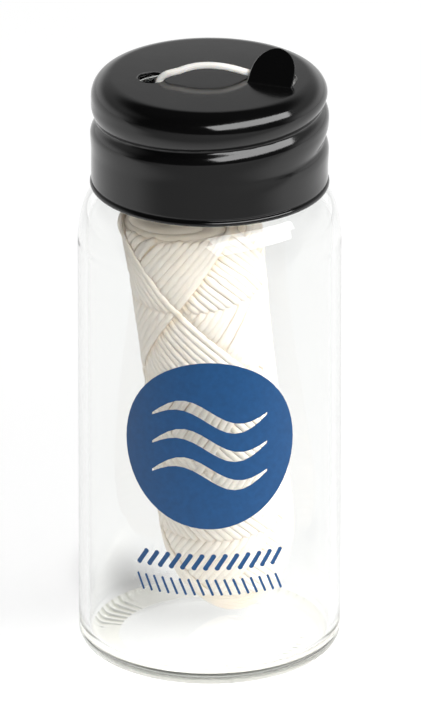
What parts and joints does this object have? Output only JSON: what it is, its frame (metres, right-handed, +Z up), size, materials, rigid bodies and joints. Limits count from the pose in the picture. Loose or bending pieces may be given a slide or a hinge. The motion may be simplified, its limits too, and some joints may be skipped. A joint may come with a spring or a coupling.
{
  "type": "dental floss jar",
  "caption": "Clear glass jar holding a leaning spool of floss, whose free end passes through a hole in a black screw cap and lies against a cutter bent up from it.",
  "frame": {"origin": "centre of the foot, on the surface that the jar stands on", "axes": "+Z up along the axis of the jar, -Y towards the print, +X from the floss hole towards the cutter"},
  "size_m": [0.03, 0.0301, 0.0725],
  "materials": {
    "clear_glass": "clear, polished, faintly green at thick edges",
    "blue_ink": "screen-printed enamel, satin",
    "black_enamel": "black enamel on thin sheet metal, satin",
    "seal_foam": "smooth white, soft",
    "wound_floss": "waxed cream fibre, fine strands",
    "loose_floss": "waxed off-white fibre"
  },
  "bodies": {
    "jar": {"glass_jar": "clear_glass", "printed_disc": "blue_ink", "printed_marks": "blue_ink"},
    "seal": {"seal_ring": "seal_foam"},
    "cap": {"screw_cap": "black_enamel", "floss_tail": "loose_floss"},
    "spool": {"floss_core": "wound_floss", "floss_winding": "wound_floss"}
  },
  "joints": [
    {"name": "cap_lift", "type": "slide", "parent": "jar", "child": "seal", "axis": [0, 0, 1], "range_m": [0, 0.02]},
    {"name": "cap_turn", "type": "hinge", "parent": "seal", "child": "cap", "pos_m": [0, 0, 0.0682], "axis": [0, 0, 1], "range_deg": [0, 1800]},
    {"name": "spool_spin", "type": "hinge", "parent": "jar", "child": "spool", "pos_m": [0.00187, 0.00359, 0.0148], "axis": [-0.1037, -0.1189, 0.9875], "continuous": true}
  ],
  "couplings": [
    {"joint": "cap_lift", "follows": "cap_turn", "m_per_rad": 0.00063662}
  ]
}
